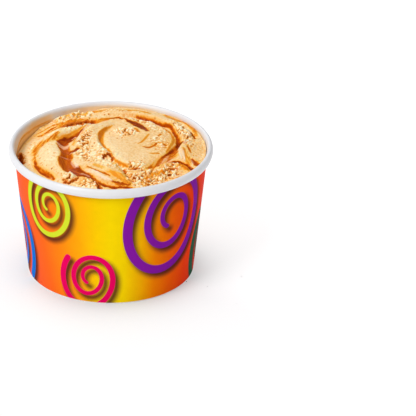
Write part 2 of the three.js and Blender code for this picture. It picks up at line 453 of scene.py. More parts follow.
# The caramel on the inner wall, from a thin film to a thick smear, and the cream wiped beside it
WALL_FILM = [
    (0, (232, 228, 220)),
    (0.3, (240, 206, 154)),
    (0.55, (240, 176, 84)),
    (0.8, (190, 118, 36)),
    (1, (134, 66, 14)),
]
WIPED_CREAM = (238, 192, 126)


def white_board():
    """The sleeve's white side, with the caramel that smeared up the inside."""
    nodes = Nodes(bpy.data.materials.new("white_board"))
    paper = nodes.mix(nodes.noise(300.0, detail=4.0), linear((224, 224, 227)), linear((232, 232, 235)))
    smear = nodes.value("smear")
    inside = nodes.mix(nodes.span(smear, 0.0, 0.15), paper, nodes.ramp(smear, WALL_FILM))
    nodes.set(Base_Color=nodes.mix(nodes.value("wiped"), inside, linear(WIPED_CREAM)))
    nodes.set(Roughness=nodes.span(smear, 0.0, 0.8, 0.42, 0.18))
    board_bump(nodes)
    return nodes.owner


def plain_board():
    nodes = Nodes(bpy.data.materials.new("plain_board"))
    paper = nodes.mix(nodes.noise(240.0, detail=5.0), linear((236, 233, 228)), linear((247, 245, 242)))
    nodes.set(Base_Color=paper, Roughness=0.62)
    board_bump(nodes)
    return nodes.owner


# The cup's pieces

def turned(profile, angles, seam):
    """Points and faces of a closed profile of [radius, height, seam share] turned about Z."""
    radius, height, share = np.array(profile).T
    reach = radius[:, None] + SEAM_STEP * share[:, None] * seam[None, :]
    turn = np.radians(angles)
    points = np.stack(
        [reach * np.sin(turn), -reach * np.cos(turn), np.repeat(height[:, None], len(angles), 1)], axis=2
    )
    rows, columns = reach.shape
    row = np.arange(rows)[:, None]
    column = np.arange(columns)[None, :]
    above = (row + 1) % rows
    beside = (column + 1) % columns
    low = row * columns
    high = above * columns
    faces = np.stack([low + column, low + beside, high + beside, high + column], axis=2)
    return points.reshape(-1, 3), faces.reshape(-1, 4)


def ellipse_arc(half_width, half_height, start, end, steps):
    turn = np.radians(np.linspace(start, end, steps + 1))
    return [
        (bead_radius + half_width * cos(a), bead_centre + half_height * sin(a), 0.0) for a in turn
    ]


def wall_rows(heights, setback=0.0, share=0.0):
    """Rows of a profile that follow the wall's outside, or a face so far behind it."""
    return [(wall_outer(z) - setback, z, share) for z in heights]


def sleeve_profile():
    """The sleeve's section, and how many of its rows belong to the printed outside."""
    foot = [
        (wall_outer(FOOT_ROUND) - FOOT_ROUND * (1 - cos(a)), FOOT_ROUND * (1 + sin(a)), 0.0)
        for a in np.radians(np.linspace(FOOT_START, 0, FOOT_STEPS))
    ]
    foot[-1] = (*foot[-1][:2], 1.0)
    seam_rows = round((SEAM_TOP - FOOT_ROUND) / SLEEVE_ROW)
    outside = foot + wall_rows(np.linspace(FOOT_ROUND, SEAM_TOP, seam_rows)[1:], share=1.0)
    outside += wall_rows(np.linspace(SEAM_TOP + SEAM_FADE, bead_centre, UPPER_ROWS)[:-1])
    half_width = BEAD_WIDTH / 2
    half_height = BEAD_HEIGHT / 2
    curl = ellipse_arc(half_width - BOARD, half_height - BOARD, 180.0, CURL_END, CURL_INSIDE_STEPS)
    curl += ellipse_arc(half_width, half_height, CURL_END, 180.0, CURL_OUTSIDE_STEPS)
    inside = wall_rows(np.linspace(bead_centre, SMEARED_FROM, SMEARED_ROWS)[1:], BOARD)
    inside += wall_rows(np.linspace(SMEARED_FROM, BOARD, PLAIN_ROWS)[1:], BOARD)
    tongue_outer = 2 * BOARD + 2 * GLUE_GAP
    tongue_inner = tongue_outer + BOARD
    tongue = wall_rows([BOARD, FOOT_TONGUE], tongue_outer)
    tongue += wall_rows([FOOT_TONGUE, FOOT_ROUND], tongue_inner)
    tongue += wall_rows([0.0], tongue_inner - FOOT_ROUND)
    return outside + curl + inside + tongue, len(outside)


def sleeve_angles():
    """The sleeve's columns, and which of them stand on the glued seam at the back."""
    half_seam = degrees(SEAM_WIDTH / 2 / wall_top_radius)
    step = degrees(SEAM_STEP / wall_top_radius)
    even = np.linspace(-180, 180, SLEEVE_COLUMNS, endpoint=False)
    edges = [side * (180.0 - edge) for side in (-1, 1) for edge in (half_seam, half_seam + step)]
    clear = np.all([np.abs(even - edge) > SEAM_CLEARANCE for edge in edges], axis=0)
    angles = np.sort(np.concatenate([even[clear], edges]))
    return angles, (180.0 - np.abs(angles) < half_seam + step / 2).astype(float)


# The smears on the inner wall: between which angles and at which heights they lie, and how strong each is.
# Angles at the left are counted backwards
LEFT_SIDE = ((84, 92), (134, 148))
SMEARS_BEGIN = {"pool": (116, 130), "haze": (112, 124), "back": (140, 160), "right": (60, 100)}
STREAK_HEIGHT = 43.4
STREAK_CLIMB = 2.2
STREAK_CLIMBS = (94, 110)
POOL_TOP = (44.8, 46.2)
HAZE_HEIGHT = 47.0
BACK_TOP = (47.0, 48.6)
RIGHT_TOP = (46.6, 48.4)
SPLASH = ((100, 112), (136, 148))
SMEARS = {"streak": 0.7, "pool": 0.75, "haze": 0.3, "back": 0.25, "right": 0.11, "splash": 0.4}


def smear_values(angle, z):
    """The caramel smeared on the inner wall, and the cream wiped along it below the left streak."""
    ragged = 0.5 * waves(angle, z, 7.0, 41) + 0.3 * waves(angle, 4 * z, 3.0, 42)
    left = between(-angle, *LEFT_SIDE)
    streak = z - STREAK_HEIGHT - STREAK_CLIMB * ease(-angle, *STREAK_CLIMBS)
    below_pool = 1 - ease(z - ragged, *POOL_TOP)
    below_back = 1 - ease(z, BACK_TOP[0], BACK_TOP[1] + 0.5 * ragged)
    below_right = 1 - ease(z, RIGHT_TOP[0], RIGHT_TOP[1] + 0.5 * ragged)
    right = below_right * ease(angle, *SMEARS_BEGIN["right"])
    smears = {
        "streak": left * bell(streak - 0.5 * ragged, 0.8),
        "pool": left * below_pool * ease(-angle, *SMEARS_BEGIN["pool"]),
        "haze": left * bell(z - HAZE_HEIGHT - ragged, 1.3) * ease(-angle, *SMEARS_BEGIN["haze"]),
        "back": below_back * ease(np.abs(angle), *SMEARS_BEGIN["back"]),
        "right": right,
        "splash": right * between(angle, *SPLASH),
    }
    caramel = np.max([strength * smears[name] for name, strength in SMEARS.items()], axis=0)
    return {"smear": caramel, "wiped": left * (1 - ease(streak - 0.4 * ragged, -0.6, 0.2))}


def make_sleeve():
    profile, printed_rows = sleeve_profile()
    angles, seam = sleeve_angles()
    points, faces = turned(profile, angles, seam)
    columns = len(angles)
    face_material = np.ones(len(faces), int)
    face_material[: (printed_rows - 1) * columns] = 0
    sleeve = make_piece("sleeve", points, faces.tolist(), [printed_board(), white_board()], face_material)
    angle = np.tile(angles, len(profile))
    height = points[:, 2]
    past_curl = printed_rows + 2 * CURL_INSIDE_STEPS
    smeared = (np.arange(len(points)) > past_curl * columns) & (height > SMEARED_FROM - SLEEVE_ROW)
    keep_values(sleeve, print_values(angle, height))
    smears = smear_values(angle, height)
    keep_values(sleeve, {name: np.where(smeared, smear, 0.0) for name, smear in smears.items()})
    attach(sleeve, "root")
    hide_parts("cup_wall")


def make_base():
    """The disc and its skirt, whose outside stands one glue gap inside the wall."""
    foot = BOARD + GLUE_GAP
    corner = floor_top - SKIRT_CORNER
    outside = [
        (wall_inner(foot) - GLUE_GAP, foot),
        (wall_inner(corner) - GLUE_GAP, corner),
        (wall_inner(floor_top) - GLUE_GAP - SKIRT_CORNER, floor_top),
    ]
    inside = [(radius - BOARD, max(height - BOARD, foot)) for radius, height in reversed(outside)]
    middle = [(AXIS_HOLE, BASE_RECESS), (MIDDLE_RING, BASE_RECESS)]
    profile = [(*point, 0.0) for point in [*middle, *inside, *outside, (AXIS_HOLE, floor_top)]]
    angles = np.linspace(-180, 180, BASE_COLUMNS, endpoint=False)
    points, faces = turned(profile, angles, np.zeros(BASE_COLUMNS))
    base = make_piece("base_disc", points, faces.tolist(), [plain_board()])
    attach(base, "root")
    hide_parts("cup_base")


# The gelato's broad shape, the same as its solid's

# Paddle strokes: an arc's centre, radius and angle from and to, half-widths inside and outside, height
STROKES = {
    "ring_ridge": ((4.2, 3.3), (24.6, 21.6), (112, -30), (1.1, 4.2), 1.2),
    "ring_line": ((4.2, 3.3), (22.6, 19.5), (88, -37), (1.6, 0.7), -0.9),
    "top_curl": ((3.5, 17.7), (5.6, 8.9), (76, 181), (0.9, 0.9), -0.6),
    "plate_lip": ((15, 4.3), (20.2, 20.4), (135, 222), (0.9, 4.5), 0.8),
    "disc_left": ((15, 4.3), (18.5, 18.4), (140, 218), (1.6, 0.8), -0.8),
    "disc_front": ((20.6, 8.3), (28.4, 28.4), (218, 245), (0.9, 0.9), -1.2),
    "front_right": ((25.7, -19.8), (12.3, 5.3), (169, 55), (1, 1.8), -0.9),
    "front_right_lip": ((25.7, -21.2), (10.4, 4.2), (155, 60), (1.6, 0.8), 1),
    "right_back": ((8.5, 6.2), (21.6, 22), (43, 4), (0.8, 0.8), -0.8),
    "pool_top": ((-6.5, -0.1), (12.7, 10), (111, 212), (2.4, 1.4), -1.3),
    "pool_middle": ((-3.1, -8), (12.6, 15.6), (168, 240), (2.4, 1.6), -1.3),
    "pool_front": ((24.3, 1.7), (38.9, 38.5), (205, 237), (1.2, 1.8), -1.2),
    "paddle_flap": ((20.4, -1.7), (27.6, 27.2), (214, 236), (3.2, 1), 1),
    "front_crag": ((35.9, -7.7), (33.2, 33), (190, 216), (0.9, 1.2), -1.2),
    "back_left_band": ((-16, 39), (19.9, 19.3), (-92, -55), (1, 1.8), -1.3),
    "left_ridge": ((34.5, -41.9), (74.5, 74.5), (142, 124), (1.2, 2.2), 1),
    "inner_ridge": ((-35.2, 21.3), (29.3, 29.3), (-42, -8), (1, 2), 0.9),
    "left_streak": ((-14.6, 9.2), (12.5, 13), (100, 162), (0.9, 0.9), -0.6),
    "left_band": ((-15.9, -0.1), (11.6, 11.3), (190, 115), (0.9, 1.4), -0.9),
    "left_foot": ((8.2, 4.5), (37.4, 37.6), (194, 222), (0.8, 1.2), -0.9),
}

# Broad lumps and hollows: place, half-sizes, turn in degrees and height
LUMPS = {
    "back_left_crest": ((-15, 27.5), (7, 3), 28, 1.2),
    "left_mound": ((-21, -6), (6, 7.5), 0, 0.8),
    "sauce_hollow": ((-14, -6), (4, 13), 0, -0.7),
    "stray_crumb": ((-15, -21), (2.2, 1.6), 20, 1.3),
    "wall_pocket": ((-32.8, 0.5), (1.6, 3.4), 8, -2.2),
}

# Where the gelato tore into crumbs instead of smearing: place, half-sizes, turn and roughness
CRUMBLY = {
    "front": ((15.5, -22.5), (11, 5), 18, 1),
    "disc_top": ((5, 9.5), (5, 3.5), 10, 0.7),
    "back_left": ((-13, 26.5), (8, 4), 28, 0.8),
    "right": ((27, 8), (4, 9), 0, 0.5),
    "plate": ((-4, -8), (6, 9), 20, 0.4),
}

DISC_PLACE = (8.7, 0.2)
DISC_EDGE = (12.0, 17.0)
DISC_HEIGHT = 0.7


def off_disc(x, y, near, far):
    """How far off the smooth disc each place is, rising to one between two distances from its middle."""
    return ease(np.hypot(x - DISC_PLACE[0], y - DISC_PLACE[1]), near, far)


def lump(x, y, place, size, turn, height):
    cosine = cos(radians(turn))
    sine = sin(radians(turn))
    along = ((x - place[0]) * cosine + (y - place[1]) * sine) / size[0]
    across = ((y - place[1]) * cosine - (x - place[0]) * sine) / size[1]
    return height * np.exp(-(along ** 2 + across ** 2))


def stroke(x, y, centre, radius, angle, width, height):
    """A stroke's height: full along its middle, fading across it and at both ends."""
    dx = x - centre[0]
    dy = y - centre[1]
    sweep = radians(angle[1] - angle[0])
    full_turn = 2 * pi * np.sign(sweep)
    offset = ((np.arctan2(dy, dx) - radians(angle[0])) / full_turn + 0.25) % 1 - 0.25
    share = offset * full_turn / sweep
    across = np.hypot(dx, dy) - radius[0] - share * (radius[1] - radius[0])
    half_width = np.where(across < 0, width[0], width[1])
    ends = between(share, (-0.04, 0.12), (0.88, 1.04))
    return height * ends * bell(across, half_width)


def crumb_waves(x, y):
    first = np.sin(2.1 * x + 0.9 * y) * np.sin(-0.7 * x + 1.9 * y + 1.3)
    second = np.sin(1.2 * x - 2.6 * y + 4.1) * np.sin(2.9 * x + 1.4 * y + 0.4)
    return 0.6 * first + 0.4 * second


def fill_height(x, y):
    share = np.hypot(x, y) / wall_inner(EDGE_HEIGHT)
    away = np.abs((np.degrees(np.arctan2(y, x)) - LOW_SIDE_ANGLE + 180.0) % 360.0 - 180.0)
    low_side = (1 - ease(away, 15.0, 100.0)) * ease(share, 0.6, 0.95)
    return EDGE_HEIGHT + DOME_RISE * (1 - share ** 2) - LOW_SIDE_DROP * low_side


def broad_height(x, y):
    """The height of the gelato's solid."""
    height = fill_height(x, y) + DISC_HEIGHT * (1 - off_disc(x, y, *DISC_EDGE))
    for shape in LUMPS.values():
        height += lump(x, y, *shape)
    for shape in STROKES.values():
        height += stroke(x, y, *shape)
    for shape in CRUMBLY.values():
        height += lump(x, y, *shape) * crumb_waves(x, y)
    return height


# Caramel lying in the paddle's grooves, with one painted shade beside the blade (blade_shade): how deep it
# looks, how much the paddle streaked it, and its route as (x, y, half-width)
CARAMEL = {
    "pool_blade": (0.9, 0.2, [
        (-8, 17.5, 0.3), (-10.6, 13.2, 0.7), (-13.2, 9.8, 1.3), (-16, 6.8, 1.9), (-18.2, 4.2, 1.6),
    ]),
    "pool_column": (0.75, 0.2, [
        (-17.4, 3, 2.4), (-16.6, -3.2, 1.9), (-16, -6.5, 2.2), (-16.6, -10.6, 2.5), (-15.4, -14.4, 2.6),
        (-14, -16.8, 2),
    ]),
    "pool_low": (0.88, 0.3, [
        (-12.8, -16.6, 2.4), (-9.8, -20.2, 2.1), (-6.4, -23.4, 1.1), (-3, -27.2, 1.3), (0.7, -29.4, 1.2),
        (6.9, -31.3, 0.8),
    ]),
    "pool_side": (0.92, 0.2, [(-14.4, -2.9, 1), (-13, -2.6, 1.1), (-12, -1.4, 0.8)]),
    "blade_side": (0.42, 0.7, [(-8.6, 15.2, 0.8), (-10.6, 11.2, 1.3), (-12.6, 6.6, 1.4), (-14, 2.6, 0.9)]),
    "blade_back": (0.42, 0.5, [(-8.8, 17.2, 0.6), (-12.6, 12.6, 0.8), (-17, 8.6, 0.9), (-19.8, 5.4, 0.6)]),
    "back_left_band": (0.8, 0.7, [
        (-17.8, 19.2, 1.2), (-15, 19.8, 2.1), (-12.7, 20.2, 2.3), (-10.2, 21, 1.9), (-8.2, 21.7, 1.3),
        (-5.6, 22.8, 0.5),
    ]),
    "back_left_glow": (0.5, 0.6, [(-18.4, 21.8, 1.2), (-13.4, 22.8, 1.8), (-9.6, 23.4, 1.1)]),
    "crest_glow": (0.26, 0.6, [(-20, 25, 0.5), (-14.4, 26.6, 0.8), (-9, 28, 0.6)]),
    "blade": (0.96, 0.2, [
        (5.6, 22.4, 0.3), (7, 21, 1.1), (8.8, 19.2, 1.5), (11, 15.6, 1.5), (13.2, 11.6, 0.7),
    ]),
    "ring_line": (0.84, 0.2, [
        (9.4, 25.4, 0.3), (12.5, 24.1, 0.5), (15.9, 21.7, 0.6), (18.4, 19.6, 0.65), (21, 17.7, 0.5),
        (22.3, 15.3, 0.5), (23.5, 11.2, 0.6), (24.2, 7.7, 0.7), (24.4, 4.2, 0.8),
    ]),
    "ring_blob": (0.95, 0.2, [(24.3, 4.8, 0.8), (25, 2.4, 1.3), (26.6, 2, 0.7)]),
    "ring_low": (0.9, 0.3, [
        (24.6, 2.2, 1), (23.1, -1.2, 0.8), (21.8, -3.9, 0.6), (19.9, -7.4, 0.5), (18.2, -10, 0.3),
    ]),
    "ring_amber": (0.48, 0.4, [
        (19.2, 16.2, 0.4), (21.2, 13, 0.6), (22.5, 8.8, 0.6), (22.6, 5.4, 0.6), (22, 1.2, 0.5),
        (20, -5.2, 0.4),
    ]),
    "front_right": (0.92, 0.2, [
        (16.8, -16, 0.5), (19.4, -13.3, 0.7), (21.2, -11.5, 0.6), (23.5, -10.5, 0.6), (25.5, -11.4, 0.6),
        (27.5, -13.1, 0.8), (28.7, -16, 1),
    ]),
    "front_right_glow": (0.55, 0.7, [(22.6, -13, 0.9), (25.2, -14.4, 1.3), (27.6, -16.8, 1.3)]),
    "right_lip": (0.82, 0.2, [(29.2, -9.4, 0.7), (30.4, -11.4, 1.3), (31.2, -12.8, 1)]),
    "right_glaze": (0.64, 0.8, [
        (24.1, -1.8, 1), (22.4, -6.1, 1.5), (18.9, -11.2, 1.6), (16, -14.4, 1.5), (13.4, -17.3, 1.1),
    ]),
    "right_streak": (0.42, 0.8, [(26.1, -2.4, 0.6), (27.1, -6.7, 1), (28.3, -12, 1)]),
    "right_mark": (0.72, 0, [(27.7, -0.3, 0.3), (28.3, -2.6, 0.45), (28.8, -4.4, 0.25)]),
    "right_back": (0.46, 0.3, [
        (20.4, 26.8, 1.1), (21.6, 24.2, 1.2), (24.6, 22.3, 1.2), (26.8, 21.6, 1.1), (29.1, 18.4, 1),
        (30.3, 14.9, 0.9), (31, 10.1, 0.6),
    ]),
    "right_back_line": (0.97, 0, [(28.8, 13.6, 0.3), (29.8, 10.6, 0.6), (30.6, 7.4, 0.4)]),
    "right_back_spot": (0.95, 0.2, [(23.6, 20.8, 0.5), (25.4, 18.8, 0.5)]),
    "left_foot": (0.84, 0.4, [
        (-27.5, -4.8, 0.4), (-27, -8.4, 0.6), (-25.9, -11.3, 0.7), (-24.3, -14, 0.7), (-22.1, -16.8, 0.6),
        (-20.3, -19.3, 0.3),
    ]),
    "left_contact": (0.15, 0.4, [
        (-32.8, 8, 0.5), (-30.6, 13.4, 0.8), (-27.6, 18.8, 0.8), (-23.6, 24.2, 0.6),
    ]),
    "left_streak_a": (0.52, 0.5, [
        (-28, 17.1, 0.3), (-25.2, 19.7, 0.5), (-22.5, 21.6, 0.4), (-19.5, 22.6, 0.6),
    ]),
    "left_streak_b": (0.66, 0.5, [
        (-26.7, 16.5, 0.25), (-24.1, 18.2, 0.45), (-20.8, 20.7, 0.5), (-18.8, 20.5, 0.4),
    ]),
    "left_streak_c": (0.56, 0.5, [(-24.8, 15.6, 0.3), (-21.6, 17.5, 0.6), (-19.4, 18.2, 0.7)]),
    "left_band": (0.56, 0.8, [
        (-20.2, 9.6, 1.4), (-22.4, 7.4, 2.6), (-24.8, 6.4, 2.6), (-26.6, 3.8, 1.6), (-27.4, 1.2, 0.9),
        (-27.6, -1.4, 0.7), (-27.6, -4.6, 0.5),
    ]),
    "left_band_core": (0.78, 0.5, [(-19.6, 11.2, 0.5), (-20.8, 9.8, 1.1), (-22.8, 8.4, 0.9)]),
    "disc_left": (0.48, 0.2, [
        (0.5, 16.8, 0.2), (-2, 13.7, 0.4), (-3.6, 9, 1), (-3.6, 3.9, 0.9), (-2.7, -0.3, 0.5),
        (-1.3, -3.2, 0.4), (0, -5.8, 0.3),
    ]),
    "disc_left_core": (0.54, 0.2, [(-2.6, 13, 0.2), (-4.2, 8.8, 0.5), (-4.2, 4.4, 0.45), (-3.6, 1.6, 0.2)]),
    "disc_front": (0.5, 0.3, [(-0.2, -7, 0.3), (1, -11, 0.3), (3.4, -13.3, 0.35), (6, -15.2, 0.4)]),
    "lip_amber": (0.24, 0.6, [(0.2, -12.4, 0.6), (2, -16.2, 0.8), (3.8, -20.4, 0.8), (5.4, -24.2, 0.6)]),
    "top_curl": (0.5, 0.4, [(-7.6, 19.4, 0.4), (-5.4, 21.6, 0.8), (-3.4, 22.9, 0.7), (-1, 24, 0.4)]),
    "top_line": (0.88, 0.1, [(-1.8, 23.8, 0.15), (1.7, 24.8, 0.3), (3.6, 24.3, 0.35), (5.8, 22.3, 0.25)]),
    "arc_in_disc": (0.46, 0, [(13.7, 8.4, 0.4), (12.6, 5.3, 0.5), (11.1, 1.7, 0.45), (9.8, 0.5, 0.25)]),
    "crack_middle": (0.7, 0.1, [
        (11.6, -2, 0.3), (13.6, -2.4, 0.55), (15.4, -0.9, 0.5), (16.7, 0.9, 0.6), (18.2, 1.1, 0.5),
        (20, -0.5, 0.4),
    ]),
    "crack_low": (0.55, 0.1, [(14.3, -7.1, 0.4), (17.1, -6.9, 0.5)]),
    "crack_high": (0.6, 0.1, [(17, 6.8, 0.5), (18.3, 8.9, 0.45)]),
    # Painted shade beside the blade, coloured like caramel
    "blade_shade": (0.5, 0, [(8.8, 13.2, 0.8), (10, 10.8, 0.6)]),
    "back_smear_left": (0.4, 0.1, [(-9, 29.6, 0.7), (-5.4, 30.5, 1.3), (-2.2, 30.7, 1.3), (1, 30.2, 0.9)]),
    "back_smear_right": (0.4, 0.2, [(5.4, 30, 0.8), (8.2, 29.6, 1.2), (10.6, 28.7, 1.1), (14.2, 26.7, 0.7)]),
    "wedge_line": (0.7, 0.3, [
        (-8.4, -15.6, 0.3), (-5.3, -18.8, 0.5), (-2.6, -20.9, 0.45), (-0.5, -22.8, 0.3),
    ]),
    "front_wedge": (0.4, 0.5, [
        (-1.8, -19.8, 0.3), (0.6, -21.6, 0.8), (2.8, -23.8, 1.2), (4.8, -26.2, 1.1), (6.6, -28.6, 0.9),
    ]),
    "front_wedge_core": (0.86, 0.4, [(0.2, -26, 0.4), (2.9, -27.8, 1), (6.2, -29, 1)]),
    "plate_glow": (0.25, 0.7, [(-6, -14.6, 0.8), (-2.4, -17.4, 1)]),
    "crumb_stain": (0.45, 0.6, [(12.6, -24.6, 0.8), (16, -21.6, 1.2), (19, -19.4, 0.7)]),
}

# Pale cream dragged over the caramel, and painted highlights on the wet caramel such as the glints and the
# pool's film and fleck: how much each covers, and its route as (x, y, half-width)
CREAM_AND_HIGHLIGHTS = {
    "pool_film": (0.6, [
        (-19.9, 3.6, 0.4), (-18.3, 2.4, 1.1), (-16.8, 1.4, 1.2), (-15.3, 2.5, 0.9), (-13.9, 4.3, 0.4),
    ]),
    "pool_bridge": (0.35, [(-18.2, -8.2, 0.2), (-16.5, -7.1, 0.25), (-14.9, -7.7, 0.2)]),
    "pool_fleck": (0.85, [(-13.9, -10.6, 0.4), (-12.7, -13.4, 0.9), (-12.4, -14.6, 0.5)]),
    "pool_glint": (0.9, [(-14, 8.4, 0.2), (-12.9, 9.9, 0.3)]),
    "side_glint": (0.8, [(-14.4, -3.6, 0.35), (-13.4, -3.5, 0.35)]),
    "low_glint": (0.65, [(-10.6, -19.4, 0.4), (-9, -20.2, 0.55), (-7.8, -21.2, 0.3)]),
    "blade_ridge": (0.8, [
        (-7.4, 20, 0.5), (-8.4, 17, 0.8), (-9.6, 13.6, 0.4), (-11.4, 8.6, 0.7), (-12.6, 4.4, 0.5),
    ]),
    "wedge_pale": (0.85, [
        (-9, -16.8, 0.3), (-6.8, -19, 0.6), (-4.6, -21.2, 0.8), (-2.5, -23.4, 0.8), (-0.1, -25.6, 0.5),
    ]),
    "left_foot_edge": (0.7, [(-22.5, -17.6, 0.3), (-21.6, -18.6, 0.35)]),
    "band_glint": (0.6, [(-15.6, 19.6, 0.2), (-13.8, 20.5, 0.3), (-12.2, 20.7, 0.2)]),
    "right_fold": (0.65, [(25, -0.6, 0.5), (25.2, -4, 1.1), (25.8, -7.4, 0.9), (26.4, -9.6, 0.3)]),
    "right_peak": (0.8, [(26.6, 1.4, 0.5), (27.4, 3, 0.5)]),
    "fold_edge": (0.5, [(28.6, -8.7, 0.2), (29.3, -11.3, 0.3), (29, -14.5, 0.2)]),
    "glaze_line": (0.6, [(18.1, -13.1, 0.15), (20.7, -10.8, 0.25), (23.5, -8.6, 0.3), (25.3, -9.1, 0.2)]),
    "ring_outer_line": (0.5, [(21, -7.4, 0.2), (19.4, -10.6, 0.3), (17, -13.4, 0.2)]),
}

# Torn gaps between crumbs, sunk and painted with shade, as routes of (x, y, half-width)
GAPS = {
    "plate_crag": [
        (-2.8, -10.2, 0.2), (-2.1, -9.1, 0.25), (-0.7, -8.4, 0.25), (0.1, -9.6, 0.15), (0.8, -11, 0.05),
    ],
    "front_crag": [(4.4, -17.2, 0.05), (5, -18.8, 0.15), (5.2, -20, 0.05)],
    "disc_pit": [(6.9, -17.4, 0.6), (9.4, -17.8, 0.4)],
    "left_front_crag": [(-6, -24.2, 0.3), (-4.6, -28.2, 0.45), (-3.9, -30.6, 0.45)],
    "wall_hole": [(-32.9, 4.8, 0.4), (-32.6, 1, 0.8), (-31.9, -2.8, 0.45)],
    "crumb_pit": [(-16.6, -23.3, 0.25), (-15, -24.1, 0.35), (-13.2, -23.4, 0.35), (-12, -22.4, 0.25)],
    "band_pit": [(-17.6, 20.6, 0.3), (-14.6, 20.8, 0.4), (-11, 21.6, 0.35), (-8.4, 22.4, 0.25)],
    "front_pit": [(21.8, -17.4, 0.35), (23.4, -17, 0.35)],
}

# The larger pits of the crumb, as (x, y, radius)
PITS = [
    (-20.6, -6.1, 0.35), (-20.2, -8.2, 0.4), (-21.2, -14.4, 0.45), (-29.4, 6.7, 0.4), (-30, 4.5, 0.35),
    (-23.9, -9, 0.4), (-25, -9.4, 0.45), (-24.6, 3.2, 0.5), (-24, 0.6, 0.45), (-25.7, -5.7, 0.5),
    (-6.7, -2, 0.6), (-6, 0.3, 0.45), (-3.2, -3.6, 0.35), (-10.5, -5.1, 0.55), (-9.6, -9.2, 0.6),
    (-8.5, -9.9, 0.5), (-10.2, 3.4, 0.6), (-10.5, -0.6, 0.55), (2.4, 4.4, 0.4), (3.9, 5, 0.4),
    (5.2, 6.8, 0.4), (6.9, 6.8, 0.45), (2.6, 10.6, 0.4), (5.7, 12.6, 0.4), (-1.2, 28.7, 0.4),
    (-9.2, 27.2, 0.5), (2.1, -12.7, 0.4), (26.8, 9.4, 0.45), (29.8, 1.9, 0.45), (27.6, 7, 0.4),
    (23, -17.3, 0.5), (19, 4.9, 0.35), (10.4, -24.8, 0.5), (13.5, -21.1, 0.55), (15.5, -24.1, 0.5),
    (17.9, -9.8, 0.35), (7.7, -22.4, 0.5),
]

# Where the surface shows loose crumbs: place, half-sizes, turn and how torn it is
TORN = {
    "back_left_crest": ((-14, 27.4), (9.5, 4.4), 26, 1),
    "left_edge": ((-25.5, 24.6), (7, 2.2), 42, 0.9),
    "band_edge": ((-14.5, 15.6), (9.5, 2), 22, 1),
    "plate_left": ((-9.6, 5.5), (2.6, 11), -4, 1),
    "plate_foot": ((-9.8, -5.5), (3.6, 6), 20, 0.9),
    "plate": ((-4, -8), (6, 9), 20, 0.5),
    "disc_top": ((5.6, 10.8), (4.6, 4), 12, 1),
    "disc_low": ((8.2, -15.4), (3.8, 2.6), 10, 1),
    "crag": ((2.6, -16), (3, 9), 38, 1),
    "front": ((13.5, -23.5), (11.5, 6.4), 20, 1),
    "front_right": ((22.6, -16.2), (5.2, 2.4), 30, 1),
    "ring_back": ((9.5, 22.6), (9, 2.4), -24, 0.75),
    "ring_inside": ((16.5, 14), (7, 4), -40, 0.62),
    "disc_right": ((17.4, 1.6), (4.6, 9), 0, 0.56),
    "right": ((26.2, 13.5), (9.5, 3), -66, 1),
    "right_low": ((28, 2.5), (2.6, 4.5), 0, 0.7),
    "back": ((4, 29.5), (12, 2.4), -4, 0.5),
    "stray": ((-15, -20.6), (3.2, 2.6), 20, 1),
    "front_left": ((-8.6, -25.8), (5.6, 3), -20, 0.9),
    "left_mound": ((-20, -4), (5.5, 9), 0, 0.3),
    "left_mound_top": ((-22, 7), (3.5, 2.4), 30, 0.8),
    "left_slope": ((-28, 7), (2.2, 5), -30, 0.5),
    "wall_hole": ((-31.8, 0.4), (1.8, 4.6), 4, 0.8),
    "left_foot": ((-27.4, -3.4), (1.6, 2.6), 10, 0.7),
}

# The cream's tone, from 0 for brown to 1 for pale, and its slow changes
MIDDLE_TONE = 0.6
TONES = {
    "left_mound": ((-20, -7), (6, 10), 10, 0.24),
    "plate": ((-3, -6), (8, 12), 20, 0.16),
    "band_edge": ((-15, 14), (9, 3), 22, 0.26),
    "disc": ((9, -1), (9, 10), 0, -0.06),
    "right": ((31, -2), (4, 16), 0, -0.1),
    "left_wall": ((-30, 4), (3.4, 13), 0, 0.04),
    "front_strip": ((0, -33), (22, 2.2), 0, -0.04),
    "back": ((2, 30), (16, 4), 0, -0.06),
    "front": ((15, -22), (12, 7), 20, -0.1),
    "plate_left": ((-10, 0), (2.4, 10), 0, -0.2),
    "disc_right": ((20, -2), (4, 9), 0, -0.08),
    "crag": ((2.6, -15.5), (3.4, 7.5), 38, 0.2),
    "crest": ((-14, 27), (9, 4), 26, 0.06),
    "wedge": ((2, -22), (6, 5), 20, -0.16),
    "left_foot": ((-24, -16), (7, 3), 40, -0.12),
}

# Small forms that only the dressed piece shows
VISUAL_LUMPS = {
    "behind_crest": ((-11, 32.5), (6, 2.2), 14, -1.9),
    "crest": ((-16, 26), (2.6, 1.8), 30, 0.7),
    "band_edge": ((-11.8, 17.6), (5.5, 2), 26, -1),
}

# Crumbs of three sizes: how far apart they lie, how high they stand, and their seed
CRUMB_SIZES = [(1.25, 0.95, 53), (0.85, 0.8, 54), (0.55, 0.65, 55)]

# How far from a dragged stroke's edge it still shows, how long and how wide its streaks are, and the seeds
STROKE_REACH = 3.5
STREAK_LENGTH = 4.0
STREAK_BREADTH = 0.6
CARAMEL_SEED = 70
CREAM_AND_HIGHLIGHT_SEED = 130

# Where the disc is smooth, by the distance from its middle, and where it is rough again, by x
SMOOTH_DISC = (8.0, 14.0)
ROUGH_AGAIN = (11.0, 15.0)

# The paddle's fine scrapes turn about this place
SCRAPE_MIDDLE = (5.0, 1.0)

# The heights of the small forms
CRUMB_HEIGHT = 1.2
CRUMB_BED = -0.55
CLUMP_HEIGHT = 0.3
RIPPLE_HEIGHT = 0.12
SCRAPE_HEIGHT = 0.09
WIDE_HEIGHT = 0.2
PORE_DEPTH = 0.2
GAP_DEPTH = 0.85
FILM_DEPTH = 0.22
DRAGGED_HEIGHT = 0.2


def patches(x, y, shapes):
    """The highest of the patches at each place."""
    best = np.zeros(x.shape)
    for place, size, turn, strength in shapes.values():
        best = np.maximum(best, lump(x, y, place, size, turn, strength))
    return best


